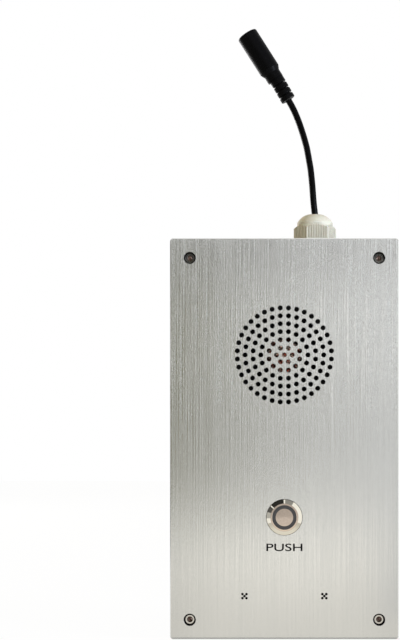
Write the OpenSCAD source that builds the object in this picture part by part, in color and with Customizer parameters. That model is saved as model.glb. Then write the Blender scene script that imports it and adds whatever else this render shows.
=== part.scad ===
// Help point intercom: a thick brushed plate on a cast back box, with a loudspeaker behind a drilled
// grille, one push button with a light ring, two microphones and a short power lead through a gland.
// X runs to the right, Y into the wall and Z up. The origin is the middle of the face on the wall.

/* [Front plate] */
// Width of the plate
plate_w = 114; // [108:1:140]
// Height of the plate
plate_h = 200; // [194:1:240]
// Thickness of the plate
plate_t = 5; // [4.4:0.1:8]
// Radius of the plate's corners
plate_corner_r = 1.5; // [1:0.1:4]
// Bevel round the front edge
plate_bevel = 0.4; // [0.2:0.1:0.8]
// Distance of the screws from the plate's edges
screw_inset = 9.8; // [9.2:0.1:11]

/* [Plate screws] */
// Thread diameter
screw_d = 3; // [2.5:0.1:3.4]
// Length under the head
screw_length = 14; // [10:1:20]
// Head diameter
screw_head_d = 5; // [4.6:0.1:5.6]
// Head height
screw_head_h = 2.1; // [1.8:0.1:3.2]
// Hex socket, across flats
screw_socket_af = 2.5; // [2:0.1:3]
// Depth of the hex socket
screw_socket_h = 1.2; // [1:0.1:1.4]
// Room for the rubber ring between a head and its counterbore
screw_head_gap = 0.5; // [0.3:0.05:0.6]
// Height of the rubber ring
screw_ring_h = 1.4; // [0.8:0.1:1.6]
// Chamfer round the mouth of a counterbore
counterbore_chamfer = 0.1; // [0.05:0.05:0.3]
// Gap round a thread where it passes a plate
screw_hole_gap = 0.2; // [0.1:0.05:0.4]
// Plate left under a head
screw_seat_t = 0.8; // [0.6:0.1:1.2]

/* [Back box] */
// Depth from the wall to the rim
box_depth = 44; // [42:1:60]
// How far the plate stands past the box
box_inset = 5.5; // [4.5:0.5:6]
// Side walls
box_wall = 2.5; // [2:0.1:3]
// Back wall
box_floor = 3; // [2.5:0.1:4]
// Outer corner radius
box_corner_r = 6; // [4:0.5:7]
// Diameter of the screw bosses
boss_d = 8.4; // [7:0.1:9]
// Thickness of the rim gasket
rim_gasket_t = 1; // [0.6:0.1:2]

/* [Wall fixing] */
// Spacing of the wall holes across
fixing_w = 76; // [74:1:84]
// Spacing of the wall holes up and down
fixing_h = 150; // [144:1:156]
// Diameter of the wall holes
fixing_hole_d = 4.5; // [3.5:0.1:6]

/* [Grille and loudspeaker] */
// Height of the speaker above the plate's middle
speaker_z = 41.8; // [38:0.1:46]
// Rings of holes round the middle hole
grille_rings = 6; // [3:1:6]
// Distance from ring to ring
grille_spacing = 3.92; // [3.6:0.01:4.2]
// Diameter of a grille hole
grille_hole_d = 2.5; // [1.5:0.1:2.8]
// Outer diameter of the speaker
speaker_d = 66; // [62:1:72]
// Thickness of the foam ring between plate and speaker
speaker_seal_t = 3; // [2.8:0.1:4]
// Width of the speaker's flange
flange_w = 6; // [5:0.5:7]
// Sheet thickness of the speaker's frame
frame_t = 1; // [0.8:0.1:1.2]
// Depth of the frame behind its flange
basket_depth = 13; // [12:0.5:15]
// Depth of the cone
cone_depth = 7.7; // [7:0.1:8]
// Diameter of the coil former
coil_d = 16; // [14:0.5:18]
// Diameter of the magnet
magnet_d = 40; // [38:1:44]
// Thickness of the magnet
magnet_t = 8; // [6:0.5:9]
// Thickness of the pole plates
pole_plate_t = 3; // [2.5:0.5:3.5]

/* [Push button] */
// Height of the button, below the plate's middle
button_z = -39.1; // [-44:0.1:-36]
// Diameter of the bezel
bezel_d = 17.7; // [17.4:0.1:20]
// Height of the bezel on its seal
bezel_h = 1.8; // [1.2:0.1:3]
// Diameter of the bezel's flat top
bezel_flat_d = 13.8; // [13:0.1:15]
// Thread diameter of the barrel
barrel_d = 16; // [15.6:0.1:16.4]
// Diameter of the light ring
plunger_d = 12; // [11:0.1:12.4]
// Diameter of the metal cap in the light ring
button_cap_d = 8.7; // [7.6:0.1:9.4]
// How far the button travels
button_travel = 1.5; // [0.8:0.1:1.8]
// Thickness of the seal under the bezel
button_seal_t = 0.4; // [0.3:0.1:0.8]
// Nut across flats
button_nut_af = 20; // [19:0.5:22]
// Thickness of the nut
button_nut_t = 3; // [2:0.5:5]

/* [Microphones] */
// Spacing of the two microphones
mic_spacing = 39.8; // [36:0.2:50]
// Height of the microphones above the plate's foot
mic_foot = 21.6; // [20:0.1:30]
// Diameter of a sound hole
mic_hole_d = 1.3; // [0.6:0.1:1.4]
// Side of the square of sound holes
mic_hole_spacing = 2; // [2:0.1:3]
// Diameter of a capsule
capsule_d = 9.7; // [6:0.1:10]
// Height of a capsule
capsule_h = 4.7; // [3:0.1:6]
// Wall of the rubber boot
boot_wall = 1.6; // [1:0.1:2]

/* [Circuit board] */
// Width of the board
board_w = 64; // [62:1:66]
// Height of the board
board_h = 66; // [64:1:68]
// Thickness of the board
board_t = 1.6; // [1:0.1:2]
// Height of the board's middle, below the plate's middle
board_z = -35; // [-37:0.5:-34]
// Height of the pillars under the board
pillar_h = 6; // [4:0.5:7]
// Diameter of the pillars
pillar_d = 6; // [5:0.5:7]
// Thread diameter of the board screws
board_screw_d = 2.5; // [2:0.1:3]

/* [Cable gland] */
// Distance of the gland from the plate's middle
gland_x = 15.7; // [10:0.1:20]
// Distance of the gland from the wall
gland_y = 24; // [22:0.5:26]
// Thread diameter
gland_thread_d = 15.2; // [14.4:0.1:15.6]
// Hexagons across flats
gland_af = 19; // [18.6:0.1:20]
// Height of the body's hexagon
gland_hex_h = 5; // [4:0.5:6]
// Height of the dome nut
dome_nut_h = 14; // [13.8:0.1:16]
// Turn of the dome nut
dome_nut_turn = 6.5; // [-30:0.5:30]
// Thickness of the sealing washer
gland_washer_t = 1.5; // [1:0.1:2]
// Locknut across flats
locknut_af = 22; // [20:0.5:23]
// Thickness of the locknut
locknut_t = 5; // [4:0.5:6]

/* [Power lead] */
// Diameter of the lead
cord_d = 3.4; // [2.6:0.1:3.6]
// Diameter of the connector's barrel
connector_d = 11; // [10:0.1:11.2]
// Length of the connector
connector_l = 40.7; // [36:0.1:44]
// Lean of the connector to the left
connector_lean = 32.5; // [0:0.1:45]
// Lean of the connector away from the wall
connector_tilt = 0; // [0:0.1:6]
// Bore of the connector's socket
socket_d = 6.4; // [6:0.1:7]
// Depth of the connector's socket
socket_depth = 10; // [8:0.5:12]
// Diameter of the centre pin
pin_d = 2.1; // [1.6:0.1:2.5]

/* [Hidden] */
$fn = 64;
// Gap of a screwed or pressed fit, and of a sliding fit, on the radius
fit = 0.05;
slide = 0.1;

// Levels out of the wall
plate_back = box_depth + rim_gasket_t;
plate_front = plate_back + plate_t;
head_seat = plate_back + screw_seat_t;

// Box and plate screws
box_w = plate_w - 2 * box_inset;
box_h = plate_h - 2 * box_inset;
screw_x = plate_w / 2 - screw_inset;
screw_z = plate_h / 2 - screw_inset;
boss_hole_h = screw_length + 2;
corners = [for (x = [-1, 1], y = [-1, 1]) [x, y]];

// Speaker levels, from the plate inwards
film_t = 0.4;
flange_front = plate_back - speaker_seal_t - film_t;
flange_back = flange_front - frame_t;
top_plate_front = flange_back - basket_depth;
top_plate_back = top_plate_front - pole_plate_t;
magnet_back = top_plate_back - magnet_t;
yoke_back = magnet_back - pole_plate_t;
spider_rise = 3.4;
spider_level = top_plate_front + spider_rise;
spider_waves = 6;
spider_wave_h = 0.6;
spider_cloth_t = 0.3;
spider_rim_w = 2;

// Speaker radii, from the middle outwards
speaker_r = speaker_d / 2;
coil_r = coil_d / 2;
former_t = 0.15;
winding_t = 0.35;
coil_gap = 0.4;
winding_l = 8;
winding_middle = (top_plate_front + top_plate_back) / 2;
former_tail = 4;
pole_r = coil_r - former_t - coil_gap;
gap_r = coil_r + winding_t + coil_gap;
pole_plate_r = magnet_d / 2 - 2.5;
frame_base_w = 6.6;
frame_base_r = gap_r + frame_base_w;
spider_shelf_w = 3;
spider_r = frame_base_r + spider_shelf_w;
mouth_r = speaker_r - flange_w;
roll_r = 1.9;
roll_middle_r = mouth_r - 0.8 - roll_r;
cone_r = roll_middle_r - roll_r - 0.2;
cone_lip_r = cone_r - 1.6;
cone_neck_r = coil_r + fit;
cone_neck = flange_front - cone_depth;
cone_t = 0.6;
dust_cap_r = coil_r + 1;
dust_cap_h = 3.2;
dust_cap_t = 0.3;
dust_cap_base = cone_neck + cone_t + (dust_cap_r - cone_neck_r) * cone_depth / (cone_lip_r - cone_neck_r);

// Speaker clamps and their studs
stud_d = 3;
stud_r = speaker_r + 3;
clamp_t = 1;
clamp_w = 8;
clamp_lap = 3.5;
clamp_foot = 1.6;
clamp_out = 7;
nut_t = 2.4;
nut_af = 5.5;
clamp_angles = [45, 135, 225, 315];

// Terminal strip at the foot of the speaker
strip_w = 12;
strip_h = 4;
strip_t = 1;
strip_y = speaker_z - speaker_r + strip_h / 2 + 0.6;
tag_x = 3.5;
tag_l = 5;
tag_w = 2;
tag_t = 0.5;

// Button levels and radii
barrel_r = barrel_d / 2;
bezel_back = plate_front + button_seal_t;
bezel_top = bezel_back + bezel_h;
bezel_rim = 0.4;
plunger_r = plunger_d / 2;
plunger_h = 3.4;
plunger_top = bezel_top - 0.2;
plunger_back = plunger_top - plunger_h;
cap_h = 1.6;
stem_r = 4;
spring_room = 3.1 + button_travel;
guide_front = plunger_back - spring_room;
guide_l = 9;
guide_back = guide_front - guide_l;
clip_t = 0.6;
clip_r = 5.4;
clip_seat_r = 3.4;
clip_front = guide_back - fit;
stem_end = clip_front - clip_t - 0.9;
bridge_t = 0.6;
bridge_l = 11;
bridge_w = 2.4;
contact_gap = 0.2;
contact_top = stem_end - bridge_t - button_travel - contact_gap;
contact_h = 1.2;
base_front = contact_top - contact_h;
base_spigot = 3;
base_h = 4;
barrel_back = base_front - base_spigot;
base_back = barrel_back - base_h;
chamber_r = barrel_r - 1;
blade_l = 5.5;
blade_w = 2;
blade_t = 0.6;
blade_x = [-4.5, -1.5, 1.5, 4.5];
blade_end = base_back - blade_l;
spring_wire = 0.7;
spring_turns = 3;
spring_r = (stem_r + plunger_r + slide) / 2;

// Microphones
mic_z = mic_foot - plate_h / 2;
boot_r = capsule_d / 2 + boot_wall;
boot_port_d = 6;
boot_lip = 2.5;
capsule_front = plate_back - boot_lip;
capsule_back = capsule_front - capsule_h;
mic_lead_x = 1;

// Board and what is on it
board_back = box_floor + pillar_h;
board_front = board_back + board_t;
board_top = board_z + board_h / 2;
board_foot = board_z - board_h / 2;
pillar_inset = 4;
board_screw_l = 5;
board_head_d = 4.6;
board_head_h = 1.8;
board_slot = 0.7;
capacitor_d = 8;
capacitor_h = 10;
capacitor_x = 19;
capacitor_drop = 9;
capacitor_spacing = 10;
capacitor_places = [
    [capacitor_x, board_z - capacitor_drop],
    [capacitor_x, board_z - capacitor_drop + capacitor_spacing],
    [-capacitor_x, board_z]
];
relay_size = [10, 15, 11];
relay_place = [-20, board_z - 14];
inductor_size = [7, 7, 4];
inductor_place = [5, board_top - 9];
amplifier_size = [10, 6, 1.8];
amplifier_place = [-7, board_top - 9];
processor_size = [12, 12, 1.6];
processor_place = [0, board_z + 8];
terminal_size = [12, 8, 10];
terminal_place = [board_w / 2 - 15, board_top - 6];
terminal_spacing = 5;
terminal_entry = 5;
header_size = [9, 5, 6];
plug_h = 4;
plug_inset = 0.2;
lead_spacing = 2;
speaker_header = [-20, board_top - 6];
mic_header = [-18, board_foot + 6];
button_header = [8, board_foot + 6];
header_places = [speaker_header, mic_header, button_header];
plug_level = board_front + header_size[2] + plug_h / 2;
plug_front = board_front + header_size[2] + plug_h;
plug_side = header_size[1] / 2 - plug_inset;

// Gland levels, up from the top of the box
box_top = box_h / 2;
gland_hex_base = box_top + gland_washer_t;
gland_hex_top = gland_hex_base + gland_hex_h;
dome_nut_base = gland_hex_top + 0.4;
gland_mouth = dome_nut_base + dome_nut_h;
gland_tail = box_top - box_wall - locknut_t - 2;
gland_bore_r = 4.6;
collar_r = 7.2;
collar_top = gland_hex_top + 7.5;
finger_r = 6.4;
finger_h = 3.5;
finger_slots = 4;
finger_slot_w = 0.8;
insert_base = gland_hex_top + 2;
insert_top = gland_mouth - 1;
dome_hole_r = 4.2;
dome_arc_r = 8.35;
dome_arc_x = 1.7;
dome_r = gland_af / 2 - 0.35;
dome_bevel = 1.55;
dome_base = gland_mouth - 6.1;
dome_roof = 3;
rib_count = 8;
rib_spacing = 1.25;
rib_groove = [0.6, 0.6];

// Wires inside the box
wire_d = 1.2;
wire_gap = 0.2;
wire_sides = 6;
cord_sides = 8;
route_steps = 3;
wire_drop = 3;
tag_end = flange_back - strip_t - tag_l;
blade_room = blade_end - board_front;
lead_end = [terminal_place[0], board_top + 10, board_front + terminal_entry];

// The lead inside, from the gland's mouth to its stripped end, as [x, up, out of the wall]
lead_route = [
    [gland_x, gland_mouth, gland_y],
    [gland_x, gland_mouth - 8, gland_y],
    [gland_x, gland_tail, gland_y],
    [gland_x, gland_tail - 4, gland_y],
    [18, 72, 22],
    [24, 63, 17],
    [29, 52, 12.5],
    [30.5, 40, 11],
    [29, 24, 12],
    lead_end + [1.5, 6, -0.5],
    lead_end + [0, 2, 0],
    lead_end
];

// The free lead, from the gland's mouth to the connector, as steps [right, into the wall, up] from the mouth
cord_route = [
    [0, 0, 0],
    [-0.55, 0, 4.7],
    [-0.9, 0.3, 8.7],
    [-1.17, 1, 12.8],
    [-1.45, 2.1, 16.7],
    [-1.8, 3.4, 20.6],
    [-2.2, 5, 24.6],
    [-2.8, 6.7, 28.5],
    [-3.4, 8.5, 32.4],
    [-4.1, 10.4, 36.4],
    [-5, 12.2, 40.3],
    [-6.1, 14, 44.4],
    [-7.3, 15.5, 48.4],
    [-8.7, 16.7, 52.5],
    [-10.4, 17.5, 56.7],
    [-11.8, 17.9, 59.6],
    [-13.5, 18, 62.7]
];
cord_end = cord_route[len(cord_route) - 1];

// Connector, along its own axis from the lead
cord_end_gap = 0.1;
connector_foot = [gland_x, -gland_y, gland_mouth] + cord_end;
rib_rings = 4;
rib_h = 2.45;
rib_step = 3.15;
rib_r = 3.87;
rib_edge_r = 0.35;
rib_shift = 0.14;
rib_core_r = 2.7;
neck_base = 12.5;
neck_top = 16.2;
neck_r = 4.4;
barrel_base = 18.5;
connector_rim_r = 0.8;
sleeve_t = 0.4;
sleeve_l = 8;
pin_l = 9;

// Tubes along routes

function unit(v) = v / norm(v);

function curve_point(p0, p1, p2, p3, t) =
    0.5 * (2 * p1 + (p2 - p0) * t + (2 * p0 - 5 * p1 + 4 * p2 - p3) * t * t
    + (3 * p1 - p0 - 3 * p2 + p3) * t * t * t);

// A smooth curve through the points of a route, with straight first and last stretches
function smooth_route(p, steps) = [
    p[0],
    for (i = [1 : len(p) - 3], s = [0 : steps - 1])
        curve_point(p[i - 1], p[i], p[i + 1], p[i + 2], s / steps),
    p[len(p) - 2],
    p[len(p) - 1]
];

function heading(p, i) = unit(p[min(i + 1, len(p) - 1)] - p[max(i - 1, 0)]);

// The side direction is carried from point to point, so that the tube doesn't twist
function sides_along(p, i, side) =
    let (t = heading(p, i), flat = unit(side - (side * t) * t))
    i == len(p) - 1 ? [flat] : concat([flat], sides_along(p, i + 1, flat));

function tube_ring(at, t, side, r, sides) =
    [for (k = [0 : sides - 1]) at + r * (cos(360 * k / sides) * side + sin(360 * k / sides) * cross(t, side))];

module tube(p, d, sides) {
    first = heading(p, 0);
    across = abs(first[0]) < 0.8 ? [1, 0, 0] : [0, 1, 0];
    side = sides_along(p, 0, across);
    last = len(p) - 1;
    points = [for (i = [0 : last]) each tube_ring(p[i], heading(p, i), side[i], d / 2, sides)];
    walls = [
        for (i = [0 : last - 1], k = [0 : sides - 1])
            let (a = i * sides + k, b = i * sides + (k + 1) % sides)
            each [[a, a + sides, b], [b, a + sides, b + sides]]
    ];
    caps = [
        for (k = [1 : sides - 2])
            each [[0, k, k + 1], [last * sides, last * sides + k + 1, last * sides + k]]
    ];
    polyhedron(points, concat(walls, caps));
}

module wires(routes) {
    for (route = routes) tube(smooth_route(route, route_steps), wire_d, wire_sides);
}

// Shared shapes

// Turns a piece drawn flat, as [right, up, out of the wall], to stand on the wall
module upright() { rotate([90, 0, 0]) children(); }

module at_speaker() { translate([0, speaker_z, 0]) children(); }

module at_button() { translate([0, button_z, 0]) children(); }

module at_plate_screws() { for (c = corners) translate([c[0] * screw_x, c[1] * screw_z, 0]) children(); }

module at_microphones() { for (s = [-1, 1]) translate([s * mic_spacing / 2, mic_z, 0]) children(); }

module at_pillars() {
    for (c = corners)
        translate([
            c[0] * (board_w / 2 - pillar_inset),
            board_z + c[1] * (board_h / 2 - pillar_inset),
            0
        ]) children();
}

module at_clamps() { at_speaker() for (a = clamp_angles) rotate(a) children(); }

module at_gland() { translate([gland_x, -gland_y, 0]) children(); }

module at_connector() {
    translate(connector_foot) rotate([0, -connector_lean, 0]) rotate([connector_tilt, 0, 0])
        translate([0, 0, cord_end_gap]) children();
}

module rounded_rect(w, h, r) {
    square([w - 2 * r, h], center = true);
    square([w, h - 2 * r], center = true);
    for (c = corners) translate([c[0] * (w / 2 - r), c[1] * (h / 2 - r)]) circle(r);
}

// A ring or disc between two levels
module ring(outer_r, inner_r, low, high) {
    translate([0, 0, low]) difference() {
        cylinder(r = outer_r, h = high - low);
        translate([0, 0, -1]) cylinder(r = inner_r, h = high - low + 2);
    }
}

module disc(r, low, high) { translate([0, 0, low]) cylinder(r = r, h = high - low); }

module hexagon(af, low, high) { translate([0, 0, low]) cylinder(d = af / cos(30), h = high - low, $fn = 6); }

module block(size, place, low) { translate([place[0] - size[0] / 2, place[1] - size[1] / 2, low]) cube(size); }

// Front of the panel

function grille_ring(k) =
    k == 0 ? [[0, 0]]
    : [for (i = [0 : 6 * k - 1]) let (a = (i + 0.5) * 60 / k) grille_spacing * k * [sin(a), cos(a)]];

module bevelled_slab(w, h, r, t, bevel) {
    straight = t - bevel;
    linear_extrude(straight) rounded_rect(w, h, r);
    for (c = corners)
        translate([c[0] * (w / 2 - r), c[1] * (h / 2 - r), straight])
            cylinder(r1 = r, r2 = r - bevel, h = bevel);
    rotate([90, 0, 0]) translate([0, 0, r - h / 2]) linear_extrude(h - 2 * r)
        polygon([[-w / 2, straight], [w / 2, straight], [w / 2 - bevel, t], [bevel - w / 2, t]]);
    rotate([90, 0, 90]) translate([0, 0, r - w / 2]) linear_extrude(w - 2 * r)
        polygon([[-h / 2, straight], [h / 2, straight], [h / 2 - bevel, t], [bevel - h / 2, t]]);
}

// Chamfered mouth of a counterbore in the plate's front
module counterbore_mouth(r) {
    translate([0, 0, plate_front - counterbore_chamfer])
        cylinder(r1 = r, r2 = r + 2 * counterbore_chamfer, h = 2 * counterbore_chamfer);
}

module front_plate() {
    color("silver") difference() {
        translate([0, 0, plate_back]) bevelled_slab(plate_w, plate_h, plate_corner_r, plate_t, plate_bevel);
        at_plate_screws() {
            disc(screw_d / 2 + screw_hole_gap, plate_back - 1, plate_front);
            disc(screw_head_d / 2 + screw_head_gap, head_seat, plate_front + 1);
            counterbore_mouth(screw_head_d / 2 + screw_head_gap);
        }
        at_speaker() for (k = [0 : grille_rings], p = grille_ring(k))
            translate([p[0], p[1], 0]) disc(grille_hole_d / 2, plate_back - 1, plate_front + 1);
        at_button() disc(barrel_r + slide, plate_back - 1, plate_front + 1);
        at_microphones() for (c = concat(corners, [[0, 0]]))
            translate([c[0] * mic_hole_spacing / 2, c[1] * mic_hole_spacing / 2, 0])
                disc(mic_hole_d / 2, plate_back - 1, plate_front + 1);
    }
}

module plate_screws() {
    edge = 0.35;
    mouth_h = 0.25;
    point_h = 0.5;
    head_top = head_seat + screw_head_h;
    color("dimgray") at_plate_screws() difference() {
        union() {
            disc(screw_d / 2, head_seat - screw_length, head_seat);
            disc(screw_head_d / 2, head_seat, head_top - edge);
            translate([0, 0, head_top - edge])
                cylinder(d1 = screw_head_d, d2 = screw_head_d - 2 * edge, h = edge);
        }
        hexagon(screw_socket_af, head_top - screw_socket_h, head_top + 1);
        translate([0, 0, head_top - mouth_h])
            cylinder(d1 = screw_socket_af, d2 = screw_socket_af + 2 * mouth_h, h = mouth_h + 0.001);
        translate([0, 0, head_top - screw_socket_h - point_h])
            cylinder(d1 = 0, d2 = screw_socket_af, h = point_h + 0.01);
    }
}

// Rubber rings that seal the screws
module screw_seals() {
    color("black") at_plate_screws()
        ring(screw_head_d / 2 + screw_head_gap - fit, screw_head_d / 2 + fit, head_seat, head_seat + screw_ring_h);
}

module front_gasket() {
    side_gap = 0.5;
    lip = box_wall + 0.3;
    color("black") translate([0, 0, box_depth]) linear_extrude(rim_gasket_t) difference() {
        intersection() {
            rounded_rect(box_w - 2 * side_gap, box_h - 2 * side_gap, box_corner_r - side_gap);
            union() {
                difference() {
                    square([box_w, box_h], center = true);
                    square([box_w - 2 * lip, box_h - 2 * lip], center = true);
                }
                at_plate_screws() circle(d = boss_d);
            }
        }
        at_plate_screws() circle(screw_d / 2 + screw_hole_gap);
    }
}

module back_box() {
    inner_r = box_corner_r - box_wall;
    color("dimgray") difference() {
        union() {
            difference() {
                linear_extrude(box_depth) rounded_rect(box_w, box_h, box_corner_r);
                translate([0, 0, box_floor]) linear_extrude(box_depth)
                    rounded_rect(box_w - 2 * box_wall, box_h - 2 * box_wall, inner_r);
            }
            intersection() {
                linear_extrude(box_depth) rounded_rect(box_w, box_h, box_corner_r);
                at_plate_screws() disc(boss_d / 2, 0, box_depth);
            }
            at_pillars() disc(pillar_d / 2, box_floor / 2, board_back);
        }
        at_plate_screws() disc(screw_d / 2 + fit, box_depth - boss_hole_h, box_depth + 1);
        at_pillars() disc(board_screw_d / 2 + fit, box_floor, board_back + 1);
        for (c = corners)
            translate([c[0] * fixing_w / 2, c[1] * fixing_h / 2, -1])
                cylinder(d = fixing_hole_d, h = box_floor + 2);
        translate([gland_x, box_top - box_wall - 1, gland_y]) rotate([-90, 0, 0])
            cylinder(r = gland_thread_d / 2 + slide, h = box_wall + 2);
    }
}

// Loudspeaker

module speaker_seal() {
    color("black") at_speaker() ring(speaker_r, mouth_r, plate_back - speaker_seal_t, plate_back);
}

module speaker_frame() {
    window = [9, 16, 6.5];
    base_front = top_plate_front + frame_t;
    color("darkgray") at_speaker() difference() {
        rotate_extrude() polygon([
            [speaker_r, flange_front],
            [speaker_r, flange_back],
            [mouth_r + 0.7, flange_back],
            [spider_r + 0.7, spider_level - frame_t],
            [frame_base_r + 1.1, spider_level - frame_t],
            [frame_base_r - 0.1, top_plate_front],
            [gap_r + 1.2, top_plate_front],
            [gap_r + 1.2, base_front],
            [frame_base_r - 0.8, base_front],
            [frame_base_r + 0.3, spider_level],
            [spider_r, spider_level],
            [mouth_r, flange_front]
        ]);
        for (a = [0 : 90 : 270])
            rotate(a) translate([spider_r + 1.2, -window[1] / 2, spider_level + 1.2]) cube(window);
    }
}

module cone_surround() {
    lip_front = flange_front + film_t;
    color([0.12, 0.12, 0.12]) at_speaker() rotate_extrude() {
        translate([roll_middle_r + roll_r - film_t / 2, flange_front])
            square([speaker_r - 0.5 - roll_middle_r - roll_r + film_t / 2, film_t]);
        translate([cone_lip_r, flange_front])
            square([roll_middle_r - roll_r + film_t / 2 - cone_lip_r, film_t]);
        translate([roll_middle_r, lip_front - film_t]) intersection() {
            difference() {
                circle(roll_r + film_t / 2);
                circle(roll_r - film_t / 2);
            }
            translate([-2 * roll_r, 0]) square([4 * roll_r, 2 * roll_r]);
        }
    }
}

module speaker_cone() {
    color([0.1, 0.1, 0.1]) at_speaker() rotate_extrude() polygon([
        [cone_r, flange_front],
        [cone_lip_r, flange_front],
        [cone_neck_r, cone_neck + cone_t],
        [cone_neck_r, cone_neck],
        [cone_lip_r + 0.4, flange_front - cone_t],
        [cone_r, flange_front - cone_t]
    ]);
}

module dust_cap() {
    dome_r = (dust_cap_r * dust_cap_r + dust_cap_h * dust_cap_h) / (2 * dust_cap_h);
    color("saddlebrown") at_speaker() rotate_extrude() intersection() {
        translate([0, dust_cap_base + dust_cap_h - dome_r]) difference() {
            circle(dome_r);
            circle(dome_r - dust_cap_t);
        }
        translate([0, dust_cap_base]) square([dust_cap_r + 1, dust_cap_h + 1]);
    }
}

module coil_former() {
    color("tan") at_speaker() ring(coil_r, coil_r - former_t, top_plate_back - former_tail, cone_neck + cone_t);
}

module voice_coil() {
    color("sienna") at_speaker()
        ring(coil_r + winding_t, coil_r, winding_middle - winding_l / 2, winding_middle + winding_l / 2);
}

module cone_spider() {
    inner_r = coil_r + fit;
    outer_r = spider_r - slide;
    wave_w = (outer_r - spider_rim_w - inner_r) / spider_waves;
    edge = concat(
        [for (i = [0 : spider_waves]) [inner_r + i * wave_w, spider_level + (i % 2) * spider_wave_h]],
        [[outer_r, spider_level]]
    );
    upper = [for (i = [len(edge) - 1 : -1 : 0]) edge[i] + [0, spider_cloth_t]];
    color("goldenrod") at_speaker() rotate_extrude() polygon(concat(edge, upper));
}

module top_plate() {
    color("lightgray") at_speaker() ring(pole_plate_r, gap_r, top_plate_back, top_plate_front);
}

module ring_magnet() {
    color([0.2, 0.2, 0.2]) at_speaker() ring(magnet_d / 2, gap_r + 1.8, magnet_back, top_plate_back);
}

module magnet_yoke() {
    color("lightgray") at_speaker() {
        disc(pole_plate_r, yoke_back, magnet_back);
        disc(pole_r, magnet_back - 1, top_plate_front);
    }
}

module terminal_strip() {
    color("peru") block([strip_w, strip_h, strip_t], [0, strip_y], flange_back - strip_t);
}

module speaker_tags() {
    color("gold") for (s = [-1, 1])
        block([tag_w, tag_t, tag_l], [s * tag_x, strip_y], tag_end);
}

module speaker_studs() {
    stud_end = flange_back - clamp_t - nut_t - 1;
    color("silver") at_clamps() translate([stud_r, 0, 0]) disc(stud_d / 2, stud_end, plate_back);
}

module speaker_clamps() {
    inner = speaker_r - clamp_lap;
    outer = speaker_r + clamp_out;
    color("silver") at_clamps() difference() {
        union() {
            translate([inner, -clamp_w / 2, flange_back - clamp_t]) cube([outer - inner, clamp_w, clamp_t]);
            translate([outer - clamp_foot, -clamp_w / 2, flange_back - clamp_t])
                cube([clamp_foot, clamp_w, plate_back - flange_back + clamp_t]);
        }
        translate([stud_r, 0, 0]) disc(stud_d / 2 + screw_hole_gap, flange_back - clamp_t - 1, flange_back + 1);
    }
}

module clamp_nuts() {
    top = flange_back - clamp_t;
    color("silver") at_clamps() translate([stud_r, 0, 0]) difference() {
        hexagon(nut_af, top - nut_t, top);
        disc(stud_d / 2 + fit, top - nut_t - 1, top + 1);
    }
}

// Push button

module button_seal() {
    lip = 0.2;
    color("black") at_button() ring(bezel_d / 2 + lip, barrel_r + fit, plate_front, bezel_back);
}

module button_bezel() {
    color("lightgray") at_button() rotate_extrude() polygon([
        [bezel_d / 2, bezel_back],
        [bezel_d / 2, bezel_back + bezel_rim],
        [bezel_flat_d / 2, bezel_top],
        [plunger_r + slide, bezel_top],
        [plunger_r + slide, guide_front],
        [stem_r + slide, guide_front],
        [stem_r + slide, guide_back],
        [chamber_r, guide_back],
        [chamber_r, barrel_back],
        [barrel_r, barrel_back],
        [barrel_r, bezel_back]
    ]);
}

module button_nut() {
    color("lightgray") at_button() difference() {
        hexagon(button_nut_af, plate_back - button_nut_t, plate_back);
        disc(barrel_r + fit, plate_back - button_nut_t - 1, plate_back + 1);
    }
}

module light_ring() {
    color([0.25, 0.25, 0.25]) at_button() difference() {
        union() {
            disc(plunger_r, plunger_back, plunger_top);
            disc(stem_r, clip_front, plunger_back + 1);
            disc(clip_seat_r, clip_front - clip_t, clip_front + 1);
            disc(stem_r, stem_end, clip_front - clip_t);
        }
        disc(button_cap_d / 2 + fit, plunger_top - cap_h, plunger_top + 1);
    }
}

module button_cap() {
    color("lightgray") at_button() disc(button_cap_d / 2, plunger_top - cap_h, plunger_top);
}

module return_spring() {
    rings_per_turn = 12;
    low = guide_front + spring_wire / 2 + fit;
    high = plunger_back - spring_wire / 2 - fit;
    last = spring_turns * rings_per_turn;
    coil = [
        for (i = [0 : last])
            let (a = 360 * i / rings_per_turn, level = low + (high - low) * i / last)
            [spring_r * cos(a), spring_r * sin(a), level]
    ];
    echo(spring_gap = (high - low) / spring_turns - spring_wire);
    color("silver") at_button() tube(coil, spring_wire, 6);
}

module retaining_clip() {
    color("silver") at_button() difference() {
        ring(clip_r, clip_seat_r + fit, clip_front - clip_t, clip_front);
        translate([-1.5, 0, clip_front - clip_t - 1]) cube([3, clip_r + 1, clip_t + 2]);
    }
}

module contact_bridge() {
    color("gold") at_button() block([bridge_l, bridge_w, bridge_t], [0, 0], stem_end - bridge_t);
}

module switch_base() {
    color("black") at_button() difference() {
        union() {
            disc(barrel_r, base_back, barrel_back);
            disc(chamber_r - fit, barrel_back - 1, base_front);
        }
        for (x = blade_x)
            block([blade_t + 2 * fit, blade_w + 2 * fit, base_front - base_back + 2], [x, 0], base_back - 1);
    }
}

module switch_blades() {
    color("gold") at_button() for (i = [0 : len(blade_x) - 1]) {
        switched = i == 0 || i == len(blade_x) - 1;
        block([blade_t, blade_w, base_front - blade_end], [blade_x[i], 0], blade_end);
        if (switched) translate([blade_x[i], 0, 0]) disc(bridge_w / 2, base_front, contact_top);
    }
}

module ring_lamp() {
    lamp_r = 0.9;
    color("ivory") at_button() disc(lamp_r, base_front, base_front + 1);
}

// Microphones

module microphone_boots() {
    color([0.15, 0.15, 0.15]) at_microphones() difference() {
        disc(boot_r, capsule_back, plate_back);
        disc(capsule_d / 2 + fit, capsule_back - 1, capsule_front);
        disc(boot_port_d / 2, capsule_front - 1, plate_back + 1);
    }
}

module microphone_capsules() {
    color("silver") at_microphones() disc(capsule_d / 2, capsule_back, capsule_front);
}

// Circuit board

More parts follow.
